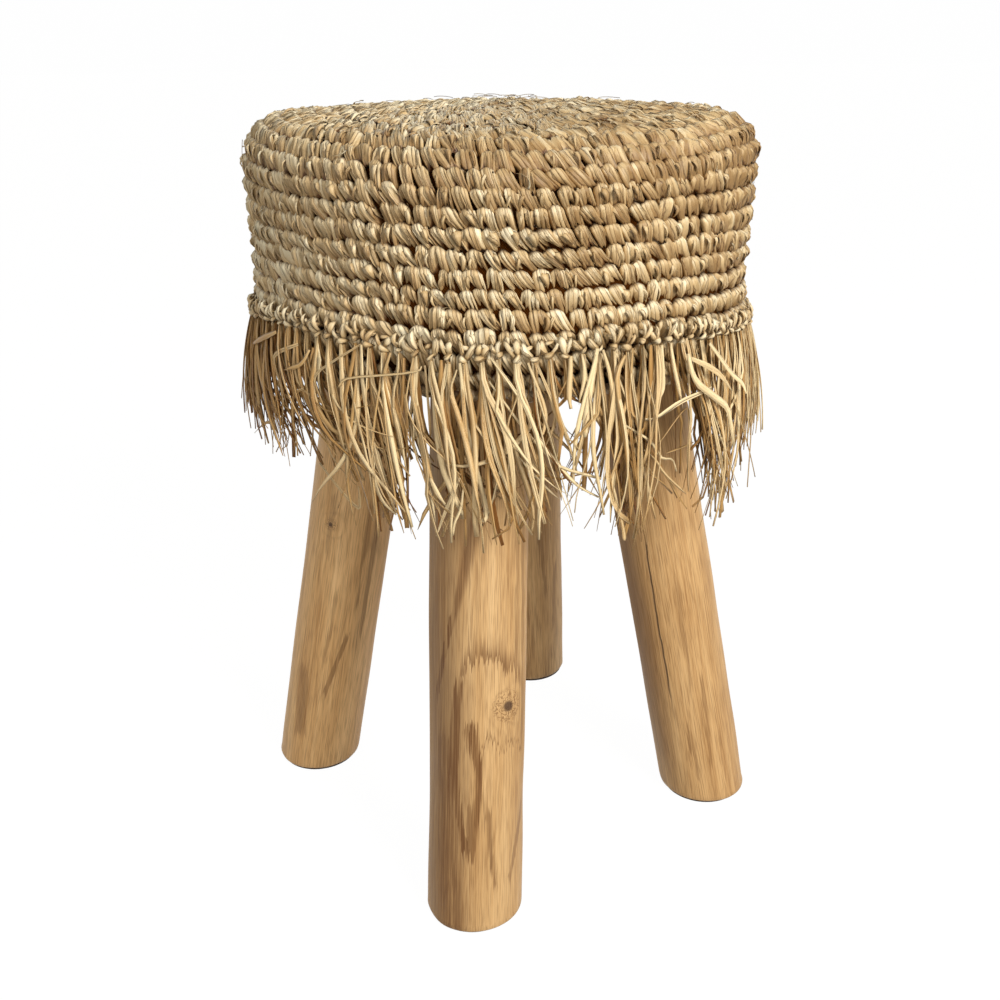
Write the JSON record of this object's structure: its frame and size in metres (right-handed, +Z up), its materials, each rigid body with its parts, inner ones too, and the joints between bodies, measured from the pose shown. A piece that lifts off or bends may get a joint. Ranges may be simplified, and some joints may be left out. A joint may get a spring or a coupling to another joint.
{
  "type": "round fringed stool",
  "caption": "Round padded stool on splayed natural teak legs, with a crocheted raffia cover and a raffia fringe.",
  "frame": {"origin": "on the floor, midway between the four feet, straight below the middle of the seat", "axes": "+Z up; the front leg stands towards -Y and the right leg towards +X"},
  "size_m": [0.341, 0.341, 0.46],
  "materials": {
    "teak": "bare turned teak, lightly oiled, satin",
    "felt": "dark brown pressed felt",
    "nail_steel": "plain steel",
    "plywood": "raw sanded plywood",
    "bent_plywood": "raw thin bending plywood",
    "pine": "raw planed pine",
    "screw_steel": "yellow zinc plated",
    "staple_wire": "galvanised wire",
    "foam": "open-cell foam",
    "wadding": "needled polyester wadding",
    "cotton": "plain-woven straw-coloured cotton",
    "raffia": "crocheted natural raffia, dry and slightly glossy",
    "raffia_knot": "knotted natural raffia",
    "raffia_strand": "loose flat raffia strips"
  },
  "bodies": {
    "root": {"leg_front": "teak", "leg_right": "teak", "leg_back": "teak", "leg_left": "teak", "foot_pad_front": "felt", "foot_pad_right": "felt", "foot_pad_back": "felt", "foot_pad_left": "felt", "foot_pad_nails": "nail_steel", "base_board": "plywood", "top_board": "plywood", "wall_panel_front": "bent_plywood", "wall_panel_right": "bent_plywood", "wall_panel_back": "bent_plywood", "wall_panel_left": "bent_plywood", "post_front_right": "pine", "post_back_right": "pine", "post_back_left": "pine", "post_front_left": "pine", "leg_screws": "screw_steel", "post_screws": "screw_steel", "panel_pins": "nail_steel", "hem_staples": "staple_wire", "foam_pad": "foam", "wadding_wrap": "wadding", "cotton_lining": "cotton", "crochet_top": "raffia", "crochet_wall": "raffia", "crochet_hem": "raffia", "fringe_knots": "raffia_knot", "fringe_front": "raffia_strand", "fringe_right": "raffia_strand", "fringe_back": "raffia_strand", "fringe_left": "raffia_strand"}
  },
  "joints": []
}
